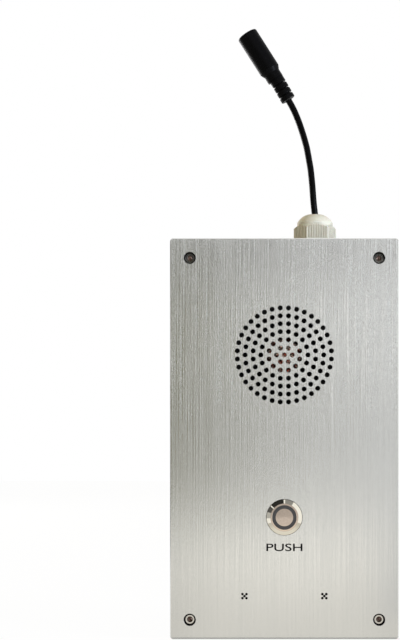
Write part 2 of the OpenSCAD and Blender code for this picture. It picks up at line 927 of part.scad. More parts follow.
module main_board() {
    color("darkgreen") difference() {
        block([board_w, board_h, board_t], [0, board_z], board_back);
        at_pillars() disc(board_screw_d / 2 + screw_hole_gap, board_back - 1, board_front + 1);
    }
}

module board_screws() {
    top = board_front + board_head_h;
    color("silver") at_pillars() difference() {
        union() {
            disc(board_screw_d / 2, board_front - board_screw_l, board_front + 1);
            disc(board_head_d / 2, board_front, top);
        }
        block([board_head_d + 1, board_slot, board_head_h], [0, 0], top - board_head_h / 2);
    }
}

module audio_processor() { color("black") block(processor_size, processor_place, board_front); }

module amplifier_chip() { color("black") block(amplifier_size, amplifier_place, board_front); }

module capacitors() {
    color("navy") for (p = capacitor_places)
        translate([p[0], p[1], board_front]) cylinder(d = capacitor_d, h = capacitor_h);
}

module power_inductor() { color("dimgray") block(inductor_size, inductor_place, board_front); }

module alarm_relay() { color("royalblue") block(relay_size, relay_place, board_front); }

module terminal_block() {
    entry_d = 2;
    color("green") difference() {
        block(terminal_size, terminal_place, board_front);
        for (s = [-0.5, 0.5])
            translate([terminal_place[0] + s * terminal_spacing, terminal_place[1], board_front + terminal_entry])
                rotate([-90, 0, 0]) cylinder(d = entry_d, h = terminal_size[1]);
    }
}

module lead_headers() { color("ivory") for (p = header_places) block(header_size, p, board_front); }

module lead_plugs() {
    plug = [header_size[0] - 2 * plug_inset, header_size[1] - 2 * plug_inset, plug_h];
    color("ivory") for (p = header_places) block(plug, p, board_front + header_size[2]);
}

// Leads inside the box

module speaker_leads() {
    plug = [speaker_header[0], speaker_header[1], plug_front + wire_gap];
    color("firebrick") wires([
        for (s = [-1, 1])
            let (
                start = [s * tag_x, strip_y, tag_end - wire_gap],
                goal = plug + [s * lead_spacing / 2, 0, 0],
                low = start - [0, 0, 2 * wire_drop],
                high = goal + [0, 0, wire_drop]
            )
            [start, start - [0, 0, wire_drop], low + 0.3 * (high - low), low + 0.7 * (high - low), high, goal]
    ]);
}

module button_leads() {
    plug = [button_header[0], button_header[1] + plug_side + wire_gap, plug_level];
    drop = blade_room / 3;
    color("goldenrod") wires([
        for (i = [0 : len(blade_x) - 1])
            let (
                start = [blade_x[i], button_z, blade_end - wire_gap],
                goal = plug + [(i - 1.5) * lead_spacing, 0, 0],
                low = start + [0, -wire_drop, -drop],
                high = goal + [0, wire_drop, 0]
            )
            [start, start - [0, wire_d / 4, drop / 2], low, (low + high) / 2 - [0, 0, drop / 3], high, goal]
    ]);
}

module microphone_leads() {
    plug = [mic_header[0], mic_header[1] - plug_side - wire_gap, plug_level];
    color("gray") wires([
        for (s = [-1, 1], k = [0, 1])
            let (
                pin = s < 0 ? [(2 * k - 1) * mic_lead_x, 0, 0] : [0, (1 - 2 * k) * mic_lead_x, 0],
                start = [s * mic_spacing / 2, mic_z, capsule_back - wire_gap] + pin,
                goal = plug + [s * lead_spacing + s * (0.5 - k) * lead_spacing, 0, 0],
                apart = s < 0 ? [0, 0, 0] : k * [0, -1.5 * wire_d, -wire_d],
                high = goal + [s < 0 ? 0 : wire_drop, -2 * wire_drop, wire_d] + apart / 2,
                across = s < 0 ? goal[0] : mic_lead_x,
                bend = [across, (start[1] + high[1]) / 2, (start[2] + high[2]) / 2] + apart
            )
            [start, start - [0, 0, wire_drop], bend, high, goal - [0, wire_drop / 2, 0], goal]
    ]);
}

module power_lead() { color([0.1, 0.1, 0.1]) tube(smooth_route(lead_route, route_steps), cord_d, cord_sides); }

module power_cores() {
    goal_y = terminal_place[1] + terminal_size[1] / 2 - 2;
    color("firebrick") wires([
        for (s = [-0.5, 0.5])
            let (goal = [terminal_place[0] + s * terminal_spacing, goal_y, lead_end[2]])
            [
                lead_end + [s * (wire_d + 0.2), -wire_gap, 0], lead_end + [s * (wire_d + 0.4), -2, 0],
                goal + [0, 5, 0], goal
            ]
    ]);
}

// Cable gland

module gland_washer() {
    color("black") at_gland() ring(gland_af / 2, gland_thread_d / 2 + slide, box_top, gland_hex_base);
}

module gland_body() {
    color("ivory") at_gland() difference() {
        union() {
            disc(gland_thread_d / 2, gland_tail, gland_hex_base + 1);
            hexagon(gland_af, gland_hex_base, gland_hex_top);
            disc(collar_r, gland_hex_top - 1, collar_top);
            disc(finger_r, collar_top - 1, collar_top + finger_h);
        }
        disc(gland_bore_r, gland_tail - 1, collar_top + finger_h + 1);
        for (a = [0 : finger_slots - 1])
            rotate(180 * a / finger_slots)
                block([2 * finger_r + 2, finger_slot_w, finger_h + 1], [0, 0], collar_top);
    }
}

module gland_locknut() {
    wall_inside = box_top - box_wall;
    color("ivory") at_gland() difference() {
        hexagon(locknut_af, wall_inside - locknut_t, wall_inside);
        disc(gland_thread_d / 2 + fit, wall_inside - locknut_t - 1, wall_inside + 1);
    }
}

module gland_insert() {
    color("darkgray") at_gland() difference() {
        union() {
            disc(gland_bore_r - fit, insert_base, collar_top + finger_h);
            disc(dome_hole_r - fit, collar_top + finger_h - 1, insert_top);
        }
        disc(cord_d / 2 + fit, insert_base - 1, insert_top + 1);
    }
}

module gland_dome_nut() {
    color("ivory") at_gland() rotate(dome_nut_turn) difference() {
        intersection() {
            hexagon(gland_af, dome_nut_base, gland_mouth);
            rotate_extrude() {
                polygon([
                    [0, dome_nut_base],
                    [gland_af / 2 / cos(30) + 0.1, dome_nut_base],
                    [gland_af / 2 / cos(30) + 0.1, dome_base - dome_bevel - 0.1],
                    [dome_r, dome_base],
                    [0, dome_base]
                ]);
                intersection() {
                    translate([0, dome_base - 1]) square([dome_r, gland_mouth - dome_base + 1]);
                    union() {
                        translate([dome_arc_x, gland_mouth - dome_arc_r]) circle(dome_arc_r);
                        translate([0, dome_base - 1]) square([dome_arc_x, gland_mouth - dome_base + 1]);
                    }
                }
            }
        }
        disc(collar_r + fit, dome_nut_base - 1, collar_top + slide);
        disc(finger_r + slide, collar_top - 1, gland_mouth - dome_roof);
        disc(dome_hole_r, gland_mouth - dome_roof - 1, gland_mouth + 1);
        for (face = [0 : 5], i = [0 : rib_count - 1]) {
            across = (i - (rib_count - 1) / 2) * rib_spacing - rib_groove[0] / 2;
            rotate(60 * face) translate([across, gland_af / 2 - rib_groove[1], dome_nut_base + 1])
                cube([rib_groove[0], 1, dome_base - dome_nut_base]);
        }
    }
}

// Power lead and connector

// A disc between two levels, with rounded edges
module rounded_disc(r, edge_r, low, high) {
    rotate_extrude() {
        translate([0, low]) square([r - edge_r, high - low]);
        translate([0, low + edge_r]) square([r, high - low - 2 * edge_r]);
        for (level = [low + edge_r, high - edge_r]) translate([r - edge_r, level]) circle(edge_r);
    }
}

module power_cord() {
    start = [gland_x, -gland_y, gland_mouth];
    color([0.1, 0.1, 0.1]) tube([for (p = cord_route) start + p], cord_d, cord_sides);
}

module connector_body() {
    rim = connector_l - connector_rim_r;
    color([0.1, 0.1, 0.1]) at_connector() difference() {
        union() {
            disc(rib_core_r, 0, neck_base + 1);
            for (i = [0 : rib_rings - 1]) {
                rib_top = i == rib_rings - 1 ? neck_base + rib_edge_r : i * rib_step + rib_h;
                translate([i * rib_shift, 0, 0]) rounded_disc(rib_r, rib_edge_r, i * rib_step, rib_top);
            }
            disc(neck_r, neck_base, neck_top);
            translate([0, 0, neck_top])
                cylinder(r1 = neck_r, r2 = connector_d / 2, h = barrel_base - neck_top);
            disc(connector_d / 2, barrel_base, rim);
            rotate_extrude() {
                translate([connector_d / 2 - connector_rim_r, rim]) circle(connector_rim_r);
                translate([0, rim - 1]) square([connector_d / 2 - connector_rim_r, connector_rim_r + 1]);
            }
        }
        disc(socket_d / 2, connector_l - socket_depth, connector_l + 1);
        disc(pin_d / 2 + fit, connector_l - socket_depth - 2, connector_l);
    }
}

module connector_sleeve() {
    floor_level = connector_l - socket_depth;
    color("silver") at_connector()
        ring(socket_d / 2 - fit, socket_d / 2 - fit - sleeve_t, floor_level, floor_level + sleeve_l);
}

module connector_pin() {
    base = connector_l - socket_depth - 2;
    color("silver") at_connector() {
        disc(pin_d / 2, base, base + 2 + pin_l - pin_d / 2);
        translate([0, 0, base + 2 + pin_l - pin_d / 2]) sphere(d = pin_d);
    }
}

upright() front_plate();
upright() plate_screws();
upright() screw_seals();
upright() front_gasket();
upright() back_box();
upright() speaker_seal();
upright() speaker_frame();
upright() cone_surround();
upright() speaker_cone();
upright() dust_cap();
upright() coil_former();
upright() voice_coil();
upright() cone_spider();
upright() top_plate();
upright() ring_magnet();
upright() magnet_yoke();
upright() terminal_strip();
upright() speaker_tags();
upright() speaker_studs();
upright() speaker_clamps();
upright() clamp_nuts();
upright() button_seal();
upright() button_bezel();
upright() button_nut();
upright() light_ring();
upright() button_cap();
upright() return_spring();
upright() retaining_clip();
upright() contact_bridge();
upright() switch_base();
upright() switch_blades();
upright() ring_lamp();
upright() microphone_boots();
upright() microphone_capsules();
upright() main_board();
upright() board_screws();
upright() audio_processor();
upright() amplifier_chip();
upright() capacitors();
upright() power_inductor();
upright() alarm_relay();
upright() terminal_block();
upright() lead_headers();
upright() lead_plugs();
upright() speaker_leads();
upright() button_leads();
upright() microphone_leads();
upright() power_lead();
upright() power_cores();
gland_washer();
gland_body();
gland_locknut();
gland_insert();
gland_dome_nut();
power_cord();
connector_body();
connector_sleeve();
connector_pin();
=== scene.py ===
import math

import bmesh
import bpy
from mathutils import Matrix, Vector
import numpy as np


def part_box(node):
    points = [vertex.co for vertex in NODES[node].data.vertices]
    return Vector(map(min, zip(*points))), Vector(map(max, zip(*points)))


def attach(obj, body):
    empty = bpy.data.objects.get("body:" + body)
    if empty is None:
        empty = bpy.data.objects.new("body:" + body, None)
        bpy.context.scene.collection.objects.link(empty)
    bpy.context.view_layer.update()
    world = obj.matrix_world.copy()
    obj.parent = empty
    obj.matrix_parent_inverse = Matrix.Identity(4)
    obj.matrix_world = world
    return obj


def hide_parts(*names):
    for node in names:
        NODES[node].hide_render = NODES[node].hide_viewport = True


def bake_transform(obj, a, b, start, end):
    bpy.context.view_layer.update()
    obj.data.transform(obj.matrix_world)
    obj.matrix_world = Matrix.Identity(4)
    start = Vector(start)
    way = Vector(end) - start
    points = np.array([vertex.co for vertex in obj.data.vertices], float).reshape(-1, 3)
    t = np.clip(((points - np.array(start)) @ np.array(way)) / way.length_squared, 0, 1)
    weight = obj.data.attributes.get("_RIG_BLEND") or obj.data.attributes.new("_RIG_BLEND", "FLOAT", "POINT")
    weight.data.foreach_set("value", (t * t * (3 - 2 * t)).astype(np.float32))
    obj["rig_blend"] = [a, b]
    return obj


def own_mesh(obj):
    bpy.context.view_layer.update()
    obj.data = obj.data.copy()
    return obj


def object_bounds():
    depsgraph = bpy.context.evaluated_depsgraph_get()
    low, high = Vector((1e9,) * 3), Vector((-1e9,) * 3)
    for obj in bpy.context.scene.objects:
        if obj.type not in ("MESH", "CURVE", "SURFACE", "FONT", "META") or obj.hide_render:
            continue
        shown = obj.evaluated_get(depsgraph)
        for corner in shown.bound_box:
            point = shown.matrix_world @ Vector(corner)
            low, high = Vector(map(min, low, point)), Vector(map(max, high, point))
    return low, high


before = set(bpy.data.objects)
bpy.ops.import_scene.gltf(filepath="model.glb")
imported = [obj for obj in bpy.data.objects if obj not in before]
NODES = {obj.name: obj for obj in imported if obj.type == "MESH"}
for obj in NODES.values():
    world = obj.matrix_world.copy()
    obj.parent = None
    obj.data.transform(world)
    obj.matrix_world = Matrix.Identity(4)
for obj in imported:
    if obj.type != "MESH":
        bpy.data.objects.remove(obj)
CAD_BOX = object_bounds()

bl_info = {
    "name": "Help point intercom",
    "version": (1, 0, 0),
    "blender": (4, 5, 0),
    "location": "View3D > Sidebar > Intercom",
    "description": "Gives the packed help point intercom its finishes, its lead, its label and a stage",
    "category": "Object",
}

MM = 0.001
PLATE_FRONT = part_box("front_plate")[0].y
SPEAKER_CENTRE = sum(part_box("ring_magnet"), Vector()) / 2
BUTTON_CENTRE = sum(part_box("button_cap"), Vector()) / 2
GLAND_CENTRE = sum(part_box("gland_dome_nut"), Vector()) / 2
GLAND_MOUTH = Vector((GLAND_CENTRE.x, GLAND_CENTRE.y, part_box("power_cord")[0].z))
IMAGE_WIDTH = 400
IMAGE_HEIGHT = 640

# The lead's route from the gland's mouth, in millimetres: right, towards the wall, up
CORD_STEPS = (
    (0, 0, 0), (-0.55, 0, 4.7), (-0.9, 0.3, 8.7), (-1.17, 1, 12.8), (-1.45, 2.1, 16.7), (-1.8, 3.4, 20.6),
    (-2.2, 5, 24.6), (-2.8, 6.7, 28.5), (-3.4, 8.5, 32.4), (-4.1, 10.4, 36.4), (-5, 12.2, 40.3),
    (-6.1, 14, 44.4), (-7.3, 15.5, 48.4), (-8.7, 16.7, 52.5), (-10.4, 17.5, 56.7), (-11.8, 17.9, 59.6),
    (-13.5, 18, 62.7),
)


# Sizes and colours that a user would change

def length(name, description, millimetres):
    metres = millimetres * MM
    return bpy.props.FloatProperty(name=name, description=description, default=metres, unit="LENGTH")


def colour(name, description, code):
    return bpy.props.StringProperty(name=name, description=description + ", as sRGB hex", default=code)


class IntercomSizes(bpy.types.PropertyGroup):
    """Sizes of the pieces that are made here, and of the stage"""

    label_width: length("Label width", "Width of the printed word under the button", 18)
    label_height: length("Label height", "Height of the word's capitals", 3.8)
    label_drop: length("Label drop", "From the button's middle down to the word's middle", 15)
    ink_thickness: length("Ink thickness", "How far the print stands on the steel", 0.03)
    cord_diameter: length("Lead diameter", "Outside of the lead's jacket", 3.4)
    cord_length: length("Lead length", "From the gland to the connector, along the lead", 68)
    surround_roll: length("Surround roll", "Radius of the half roll round the cone", 1.9)
    surround_film: length("Surround film", "Thickness of the surround's film", 0.4)
    spider_wave: length("Spider wave", "Height of one wave of the spider", 0.6)
    spider_cloth: length("Spider cloth", "Thickness of the spider's cloth", 0.3)
    spring_wire: length("Spring wire", "Diameter of the return spring's wire", 0.7)
    spring_radius: length("Spring radius", "Radius of the return spring at the wire's middle", 5)
    camera_distance: length("Camera distance", "From the camera to the plate's front face", 800)
    floor_size: length("Floor size", "Side of the square floor", 6000)


class IntercomColours(bpy.types.PropertyGroup):
    """Colours of the finishes that show"""

    steel: colour("Plate steel", "Brushed steel between its scratches", "#e3e3e0")
    steel_scratch: colour("Plate scratches", "Brushed steel in its scratches", "#dfdfdb")
    nickel: colour("Polished nickel", "The button's rim", "#eee9da")
    cap_nickel: colour("Warm nickel", "The button's cap", "#c0b1a2")
    ring: colour("Button ring", "The smoked ring round the cap", "#3b3a3b")
    nylon: colour("Nylon", "The gland", "#d2d0c4")
    jacket: colour("Lead jacket", "The lead and its connector", "#070708")
    paint: colour("Box paint", "The powder coat on the box", "#7d8083")
    rubber: colour("Rubber", "Gasket and seals", "#070707")
    ink: colour("Label ink", "The printed word", "#050505")
    floor: colour("Floor", "The pale floor", "#f1f0ec")


# Materials

def linear(code):
    """Turns an sRGB hex value into linear red, green, blue and alpha."""
    values = [int(code[i:i + 2], 16) / 255 for i in (1, 3, 5)]
    return [v / 12.92 if v <= 0.04045 else ((v + 0.055) / 1.055) ** 2.4 for v in values] + [1]


def add_node(tree, kind, sockets=None, links=None, **settings):
    """Adds a node, sets its properties and its input sockets, and links other nodes' outputs to it."""
    node = tree.nodes.new(kind)
    for name, value in settings.items():
        setattr(node, name, value)
    for name, value in (sockets or {}).items():
        node.inputs[name].default_value = value
    for name, source in (links or {}).items():
        tree.links.new(source, node.inputs[name])
    return node


def new_material(name, **sockets):
    """Starts a material and returns it with its node tree and its shader."""
    material = bpy.data.materials.new(name)
    material.use_nodes = True
    tree = material.node_tree
    shader = tree.nodes["Principled BSDF"]
    for socket, value in sockets.items():
        shader.inputs[socket.replace("_", " ")].default_value = value
    return material, tree, shader


def object_place(tree):
    """The place on the object, from its origin."""
    return add_node(tree, "ShaderNodeTexCoord").outputs["Object"]


def coordinate(tree, axis):
    """One coordinate of the place on the object."""
    links = {"Vector": object_place(tree)}
    return add_node(tree, "ShaderNodeSeparateXYZ", links=links).outputs[axis]


def spread(tree, value, source, target=(0, 1), **settings):
    """Maps a value from one range to another and keeps it within its ends."""
    sockets = dict(zip(("From Min", "From Max", "To Min", "To Max"), (*source, *target)))
    return add_node(tree, "ShaderNodeMapRange", sockets, {"Value": value}, **settings).outputs["Result"]


def grain(tree, cell, detail=3, reach=(0.32, 0.68)):
    """A noise over 0 to 1, whose cells have one size in millimetres, or one each along X, Y and Z."""
    along = cell if isinstance(cell, tuple) else (cell, cell, cell)
    sockets = {"Scale": [1 / (size * MM) for size in along]}
    fitted = add_node(tree, "ShaderNodeMapping", sockets, {"Vector": object_place(tree)})
    sockets = {"Scale": 1, "Detail": detail}
    noise = add_node(tree, "ShaderNodeTexNoise", sockets, {"Vector": fitted.outputs["Vector"]})
    return spread(tree, noise.outputs["Fac"], reach)


def bands(tree, spacing, axis):
    """Soft bands across one axis, so many millimetres apart."""
    # A band wave has two pi over twenty units of length to one band
    sockets = {"Scale": 2 * math.pi / 20 / (spacing * MM)}
    links = {"Vector": object_place(tree)}
    return add_node(tree, "ShaderNodeTexWave", sockets, links, bands_direction=axis).outputs["Fac"]


def tint(tree, shader, factor, first, second):
    """Colours the shader from the first hex value to the second as the factor goes from 0 to 1."""
    sockets = {"A": linear(first), "B": linear(second)}
    mix = add_node(tree, "ShaderNodeMix", sockets, {"Factor": factor}, data_type="RGBA")
    tree.links.new(mix.outputs["Result"], shader.inputs["Base Color"])


def shape_surface(tree, shader, height, roughness, relief):
    """Lets one pattern set the roughness between two values and raise the surface, in millimetres."""
    tree.links.new(spread(tree, height, (0, 1), roughness), shader.inputs["Roughness"])
    if relief:
        sockets = {"Strength": 1, "Distance": relief * MM}
        bump = add_node(tree, "ShaderNodeBump", sockets, {"Height": height})
        tree.links.new(bump.outputs["Normal"], shader.inputs["Normal"])


def grained(name, first, second, cell, roughness, relief=0, detail=3, **sockets):
    """A finish whose colour, gloss and relief follow one grain."""
    material, tree, shader = new_material(name, **sockets)
    height = grain(tree, cell, detail)
    tint(tree, shader, height, first, second)
    shape_surface(tree, shader, height, roughness, relief)
    return material


def brushed_stainless(colours):
    # Stainless sheet, belt brushed upright: fine broken scratches show strongly over the upper half, and
    # hands have worn the lower half smoother
    material, tree, shader = new_material("brushed_stainless", Metallic=1, Anisotropic=0.6)
    scratches = grain(tree, (0.5, 20, 50), reach=(0.36, 0.64))
    flecks = grain(tree, (0.5, 20, 1.2), detail=1)
    fleck_share = 0.35
    brushed = add_node(tree, "ShaderNodeMix", {"Factor": fleck_share}, {"A": scratches, "B": flecks})
    worn_below = -20 * MM
    fresh_above = 30 * MM
    worn_strength = 0.5
    strength = spread(tree, coordinate(tree, "Z"), (worn_below, fresh_above), (worn_strength, 1))
    links = {"Factor": strength, "B": brushed.outputs["Result"]}
    streaks = add_node(tree, "ShaderNodeMix", {"A": 0.5}, links).outputs["Result"]
    tint(tree, shader, streaks, colours.steel_scratch, colours.steel)
    shape_surface(tree, shader, streaks, (0.29, 0.15), 0.024)
    across = add_node(tree, "ShaderNodeCombineXYZ", {"X": 1})
    tree.links.new(across.outputs["Vector"], shader.inputs["Tangent"])
    return material


def machined_steel(colours):
    # Stainless screws: smooth and bright with a faint drawn grain
    return grained("machined_steel", "#a8a5a0", "#c9c6c0", 0.5, (0.12, 0.2), 0.001, Metallic=1)


def depth_mask(tree, node, shallow, deep):
    """0 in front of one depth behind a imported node's front, in millimetres, and 1 behind the other."""
    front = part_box(node)[0].y
    return spread(tree, coordinate(tree, "Y"), (front + shallow * MM, front + deep * MM))


def shaded_screw_steel(colours):
    # The plate's screws: polished faces, painted shade on the heads' sides in their counterbores, and
    # painted shade that darkens the socket floors to a glossy brown
    material, tree, shader = new_material("shaded_screw_steel")
    # Painted shade: near black, dull sides and darker brown socket floors, where little light reaches in the
    # recesses
    sides = depth_mask(tree, "plate_screws", 0.02, 0.1)
    socket_shade = depth_mask(tree, "plate_screws", 1.1, 1.3)
    for socket, kind, face, side, floor in (
        ("Base Color", "RGBA", linear("#dcd8d0"), linear("#0c0908"), linear("#6a5850")),
        ("Metallic", "FLOAT", 1, 0, 1),
        ("Roughness", "FLOAT", 0.04, 0.8, 0.25),
    ):
        sunk = add_node(tree, "ShaderNodeMix", {"A": side, "B": floor}, {"Factor": socket_shade}, data_type=kind)
        links = {"Factor": sides, "B": sunk.outputs["Result"]}
        whole = add_node(tree, "ShaderNodeMix", {"A": face}, links, data_type=kind)
        tree.links.new(whole.outputs["Result"], shader.inputs[socket])
    return material


def zinc_plated_steel(colours):
    # Zinc plated and passivated sheet: bluish grey, with soft cloudy patches
    return grained("zinc_plated_steel", "#8f959c", "#b8bcbf", 3, (0.3, 0.45), 0.004, Metallic=1)


def spring_steel(colours):
    # Drawn spring wire: darker than sheet, with fine draw marks
    return grained("spring_steel", "#77777a", "#a3a3a4", 0.4, (0.2, 0.32), 0.002, Metallic=1)


def polished_nickel(colours):
    # Turned brass, nickel plated and polished: mirror bright, with a haze of fine wiping marks
    return grained("polished_nickel", colours.nickel, "#d8d0c2", 1.5, (0.05, 0.1), Metallic=1)


def bezel_nickel(colours):
    # The button's rim: its flat face is tinted to the cap's warmer, darker tone as a painted reflection, its
    # slope is bright
    material, tree, shader = new_material("reflection_tinted_nickel", Metallic=1, Roughness=0.05)
    # Painted reflection: the flat face in front of the slope takes the cap's tone
    slope = depth_mask(tree, "button_bezel", 0.02, 0.1)
    tint(tree, shader, slope, colours.cap_nickel, colours.nickel)
    return material


def satin_nickel(colours):
    # Nickel plated cap: warm, nearly a mirror
    return grained("warm_nickel", colours.cap_nickel, "#b7a899", 0.6, (0.02, 0.035), Metallic=1)


def powder_coated_aluminium(colours):
    # Die cast aluminium under powder coat: even grey with the coat's orange peel
    return grained("powder_coated_aluminium", colours.paint, "#74777a", 1.1, (0.42, 0.58), 0.03)


def moulded_rubber(colours):
    # Moulded rubber: near black, dull, with a fine dusty bloom
    return grained(
        "moulded_rubber", colours.rubber, "#0c0c0c", 0.5, (0.7, 0.9), 0.01, Specular_IOR_Level=0.05,
    )


def grey_rubber(colours):
    # Silicone insert: mid grey, dull
    return grained("grey_rubber", "#4a4b4c", "#5b5c5d", 0.6, (0.6, 0.8), 0.01)


def pressed_film(colours):
    # Black plastic film, hot pressed: smooth with a low gloss
    return grained(
        "pressed_film", "#0a0a0a", "#121213", 1.2, (0.36, 0.5), 0.004, Specular_IOR_Level=0.2,
    )


def metal_film(colours):
    # Metallised film dome, copper tinted and a little crinkled: it glints through the grille
    return grained(
        "metallised_film", "#b8391c", "#ffeadd", 1.9, (0.03, 0.08), 0.3, detail=0, Metallic=1,
    )


def former_film(colours):
    # Polyimide film tube: amber, satin
    return grained("polyimide_film", "#a8561c", "#c06e2c", 1, (0.2, 0.3), 0.002)


def copper_winding(colours):
    # Enamelled copper wire, close wound: bright red brown rings, one for each turn
    material, tree, shader = new_material("copper_winding", Metallic=1)
    turn = 0.25
    rings = bands(tree, turn, "Y")
    tint(tree, shader, rings, "#7a3418", "#d07a4a")
    shape_surface(tree, shader, rings, (0.35, 0.2), 0.05)
    return material


def woven(name, first, second, thread, roughness):
    """A plain weave: two sets of bands at right angles, multiplied."""
    material, tree, shader = new_material(name, Sheen_Weight=0.2)
    links = {0: bands(tree, thread, "X"), 1: bands(tree, thread, "Z")}
    weave = add_node(tree, "ShaderNodeMath", links=links, operation="MULTIPLY").outputs["Value"]
    tint(tree, shader, weave, first, second)
    shape_surface(tree, shader, weave, roughness, 0.08)
    return material


def spider_cloth(colours):
    # Cotton cloth stiffened with resin: amber, the weave shows
    return woven("resin_stiffened_cloth", "#8a5a22", "#d39a4a", 0.6, (0.8, 0.6))


def ferrite(colours):
    # Sintered ferrite: charcoal, fine grained, dull
    return grained("sintered_ferrite", "#2c2d2f", "#3c3d3f", 0.25, (0.55, 0.75), 0.01)


def paper_laminate(colours):
    # Paper laminate: red brown board with a fibre grain
    return grained("paper_laminate", "#7c4a28", "#94603a", (0.8, 0.8, 0.3), (0.45, 0.6), 0.004)


def stamped_brass(colours):
    # Stamped brass strip: yellow, slightly dulled
    return grained("stamped_brass", "#b48a3c", "#d6b166", 0.8, (0.25, 0.4), 0.002, Metallic=1)


def smoked_acrylic(colours):
    # Smoked acrylic ring: dark, even, softly frosted by fine turning marks
    return grained("smoked_acrylic", colours.ring, "#313031", 0.4, (0.28, 0.4), 0.002, IOR=1.49)


def moulded_plastic(name, first, second, roughness=(0.4, 0.55)):
    """Injection moulded plastic with the fine grain of a spark eroded mould."""
    return grained(name, first, second, 0.35, roughness, 0.008)


def black_plastic(colours):
    # Moulded switch base
    return moulded_plastic("moulded_black_plastic", "#18181a", "#222225")


def lamp_resin(colours):
    # Cast lamp resin: pale yellow over the phosphor
    return moulded_plastic("cast_lamp_resin", "#e8e2a8", "#f3efc8", (0.12, 0.2))


def capsule_aluminium(colours):
    # Drawn aluminium can: pale grey, faint draw lines along its depth
    return grained("drawn_aluminium", "#a9abad", "#c6c8c9", (0.3, 3, 0.3), (0.28, 0.4), 0.002, Metallic=1)


def solder_mask(colours):
    # Glass laminate under green solder mask: glossy, copper tracks show as paler lines
    material, tree, shader = new_material("solder_masked_board", Coat_Weight=0.3, Coat_Roughness=0.1)
    sockets = {"Rotation": (math.pi / 2, 0, 0)}
    turned = add_node(tree, "ShaderNodeMapping", sockets, {"Vector": object_place(tree)})
    pitch = 1.3 * MM
    track = 0.25 * MM
    sockets = {"Scale": 1, "Brick Width": 7 * pitch, "Row Height": pitch, "Mortar Size": track}
    tracks = add_node(tree, "ShaderNodeTexBrick", sockets, {"Vector": turned.outputs["Vector"]})
    tint(tree, shader, tracks.outputs["Fac"], "#0f4a2c", "#1c6a40")
    shape_surface(tree, shader, tracks.outputs["Fac"], (0.25, 0.32), 0.02)
    return material


def chip_resin(colours):
    # Transfer moulded epoxy: black, fine matt
    return moulded_plastic("moulded_epoxy", "#19191a", "#232324", (0.6, 0.75))


def capacitor_sleeve(colours):
    # Shrunk sleeve over an aluminium can: dark blue, glossy
    return moulded_plastic("shrunk_sleeve", "#18233f", "#22305a", (0.2, 0.3))


def inductor_ferrite(colours):
    # Bonded ferrite block: dark grey, slightly rough
    return grained("bonded_ferrite", "#38383a", "#48484a", 0.2, (0.6, 0.75), 0.008)


def relay_plastic(colours):
    # Moulded relay case: black, low gloss
    return moulded_plastic("moulded_relay_case", "#1b1c1f", "#26272a")


def terminal_plastic(colours):
    # Moulded polyamide terminal: green
    return moulded_plastic("moulded_terminal", "#2a7a3c", "#358c48")


def ivory_plastic(colours):
    # Moulded nylon headers and plugs: ivory
    return moulded_plastic("moulded_header", "#ded8c2", "#ebe6d4")


def wire_jacket(name, first, second):
    """Extruded wire insulation: smooth, low gloss, with a faint run of colour."""
    return grained(name, first, second, 1.5, (0.32, 0.45), 0.003)


def red_wire(colours):
    return wire_jacket("red_insulation", "#a51a17", "#c0261f")


def yellow_wire(colours):
    return wire_jacket("yellow_insulation", "#c9a21b", "#dfba2c")


def grey_wire(colours):
    return wire_jacket("grey_insulation", "#6f7275", "#84878a")


def cord_jacket(colours):
    # Extruded soft vinyl: black satin with a faint waviness
    return grained(
        "extruded_vinyl", colours.jacket, "#0b0b0c", (1.2, 1.2, 4), (0.3, 0.4), 0.02,
        Specular_IOR_Level=0.04,
    )


def moulded_nylon(colours):
    # Moulded polyamide: off white, waxy, light enters a little way
    return grained(
        "moulded_nylon", colours.nylon, "#c8c7bb", 0.7, (0.6, 0.72), 0.006,
        Subsurface_Weight=0.05, Subsurface_Scale=0.001, Specular_IOR_Level=0.08,
    )


def connector_moulding(colours):
    # Moulded soft vinyl: black, finer gloss than the lead, mould grain
    return grained(
        "moulded_vinyl", colours.jacket, "#0b0b0c", 0.4, (0.3, 0.4), 0.008, Specular_IOR_Level=0.04,
    )


def contact_nickel(colours):
    # Nickel plated contact: bright
    return grained("plated_contact", "#b9b4aa", "#d2cdc4", 0.8, (0.16, 0.26), 0.001, Metallic=1)


def wool_felt(colours):
    # Pressed wool felt over a microphone: black, fibrous, no gloss
    return grained(
        "pressed_felt", colours.rubber, "#1a1a1a", 0.2, (0.9, 1), 0.05, Specular_IOR_Level=0.05,
    )


def printed_ink(colours):
    # Screen printed ink: black, dull, with a slight unevenness
    return grained(
        "screen_printed_ink", colours.ink, "#0c0c0c", 0.3, (0.6, 0.8), 0.002, Specular_IOR_Level=0.1,
    )


# Every slot of the record with the finish that it takes
FINISHES = {
    "brushed_plate_steel": brushed_stainless,
    "screw_steel": machined_steel,
    "plated_steel": zinc_plated_steel,
    "spring_steel": spring_steel,
    "polished_nickel": polished_nickel,
    "satin_nickel": satin_nickel,
    "cast_aluminium": powder_coated_aluminium,
    "black_rubber": moulded_rubber,
    "grey_rubber": grey_rubber,
    "cone_film": pressed_film,
    "metal_film": metal_film,
    "former_film": former_film,
    "copper": copper_winding,
    "spider_cloth": spider_cloth,
    "ferrite": ferrite,
    "laminate": paper_laminate,
    "contact_brass": stamped_brass,
    "smoked_plastic": smoked_acrylic,
    "black_plastic": black_plastic,
    "lamp_resin": lamp_resin,
    "capsule_aluminium": capsule_aluminium,
    "board_laminate": solder_mask,
    "chip_resin": chip_resin,
    "capacitor_sleeve": capacitor_sleeve,
    "inductor_ferrite": inductor_ferrite,
    "relay_plastic": relay_plastic,
    "terminal_plastic": terminal_plastic,
    "ivory_plastic": ivory_plastic,
    "red_wire": red_wire,
    "yellow_wire": yellow_wire,
    "grey_wire": grey_wire,
    "cord_jacket": cord_jacket,
    "cream_nylon": moulded_nylon,
    "connector_moulding": connector_moulding,
    "contact_nickel": contact_nickel,
}
made_finishes = {}


def finish_of(slot):
    """The finish of a slot of the record, made once."""
    if slot not in made_finishes:
        made_finishes[slot] = FINISHES[slot](bpy.context.scene.intercom_colours)
    return made_finishes[slot]


